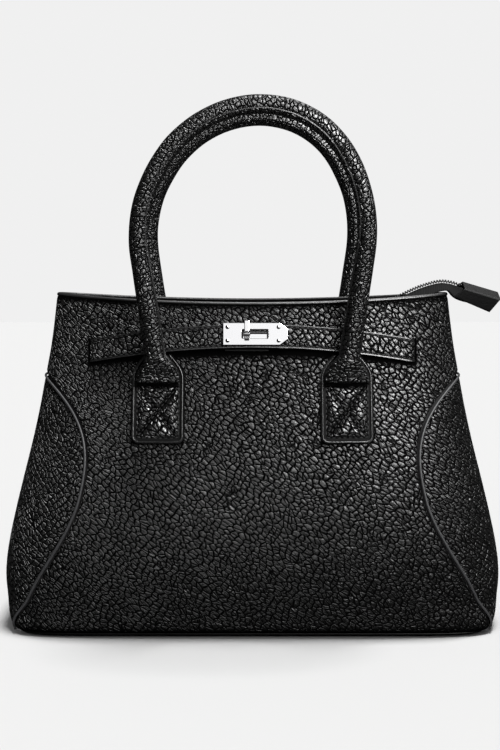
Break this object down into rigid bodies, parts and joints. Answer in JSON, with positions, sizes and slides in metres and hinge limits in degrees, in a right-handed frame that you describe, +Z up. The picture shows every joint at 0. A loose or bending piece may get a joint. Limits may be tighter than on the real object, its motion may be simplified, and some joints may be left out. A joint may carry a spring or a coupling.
{
  "type": "top handle bag",
  "caption": "Structured leather handbag with two rolled top handles, side wing panels, a belt held by a toggle clasp, and a recessed zip with a loose tail.",
  "frame": {"origin": "middle of the underside of the base, on the surface that the bag stands on", "axes": "+Z up, the front with the clasp faces -Y, and +X is the viewer's right"},
  "size_m": [0.3364, 0.132, 0.3505],
  "materials": {
    "bag_leather": "coarse pebbled black leather with a soft gloss",
    "piping_leather": "smooth black leather edge",
    "lining_cloth": "black woven lining",
    "zip_cloth": "black woven zip tape",
    "zip_nylon": "black nylon coil",
    "stiffener": "pressed fibre board",
    "cord_core": "laid cotton rope",
    "polished_steel": "polished, nearly white"
  },
  "bodies": {
    "bag": {"front_panel": "bag_leather", "back_panel": "bag_leather", "left_wing_panel": "bag_leather", "right_wing_panel": "bag_leather", "base_panel": "bag_leather", "front_facing": "bag_leather", "back_facing": "bag_leather", "front_left_tab": "bag_leather", "front_right_tab": "bag_leather", "back_left_tab": "bag_leather", "back_right_tab": "bag_leather", "belt_left": "bag_leather", "belt_right": "bag_leather", "zip_start_patch": "bag_leather", "left_wing_piping": "piping_leather", "right_wing_piping": "piping_leather", "base_welt": "piping_leather", "front_rim_binding": "piping_leather", "back_rim_binding": "piping_leather", "front_lining": "lining_cloth", "back_lining": "lining_cloth", "lining_floor": "lining_cloth", "front_zip_strip": "zip_cloth", "back_zip_strip": "zip_cloth", "front_zip_tape": "zip_cloth", "back_zip_tape": "zip_cloth", "front_zip_coil": "zip_nylon", "back_zip_coil": "zip_nylon", "base_board": "stiffener", "front_tab_backings": "stiffener", "back_tab_backings": "stiffener", "belt_anchors": "stiffener", "clasp_plate": "polished_steel", "clasp_screws": "polished_steel", "clasp_base": "polished_steel", "clasp_rod": "polished_steel"},
    "front_handle": {"front_handle_cover": "bag_leather", "front_handle_core": "cord_core"},
    "back_handle": {"back_handle_cover": "bag_leather", "back_handle_core": "cord_core"},
    "toggle": {"clasp_toggle": "polished_steel"},
    "slider": {"zip_slider": "polished_steel"},
    "puller": {"zip_puller": "polished_steel"},
    "zip_tail": {"zip_tail_tape": "zip_cloth", "zip_tail_coil": "zip_nylon", "zip_end_tab": "bag_leather"}
  },
  "joints": [
    {"name": "front_handle_fold", "type": "hinge", "parent": "bag", "child": "front_handle", "pos_m": [0, -0.04403, 0.1665], "axis": [1, 0, 0], "range_deg": [-8, 110]},
    {"name": "back_handle_fold", "type": "hinge", "parent": "bag", "child": "back_handle", "pos_m": [0, 0.04403, 0.1665], "axis": [-1, 0, 0], "range_deg": [-12, 110]},
    {"name": "toggle_turn", "type": "hinge", "parent": "bag", "child": "toggle", "pos_m": [0, -0.03831, 0.19655], "axis": [1, 0, 0], "range_deg": [0, 90]},
    {"name": "zip_slide", "type": "slide", "parent": "bag", "child": "slider", "axis": [1, 0, 0], "range_m": [0, 0.15], "deforming": ["front_zip_strip", "back_zip_strip", "front_zip_tape", "back_zip_tape", "front_zip_coil", "back_zip_coil"]},
    {"name": "puller_swing", "type": "hinge", "parent": "slider", "child": "puller", "pos_m": [-0.092, 0, 0.20925], "axis": [0, 1, 0], "range_deg": [-4, 175]},
    {"name": "zip_tail_lift", "type": "hinge", "parent": "bag", "child": "zip_tail", "pos_m": [0.0798, 0, 0.2051], "axis": [0, -1, 0], "range_deg": [0, 75], "deforming": ["zip_tail_tape", "zip_tail_coil"]}
  ]
}
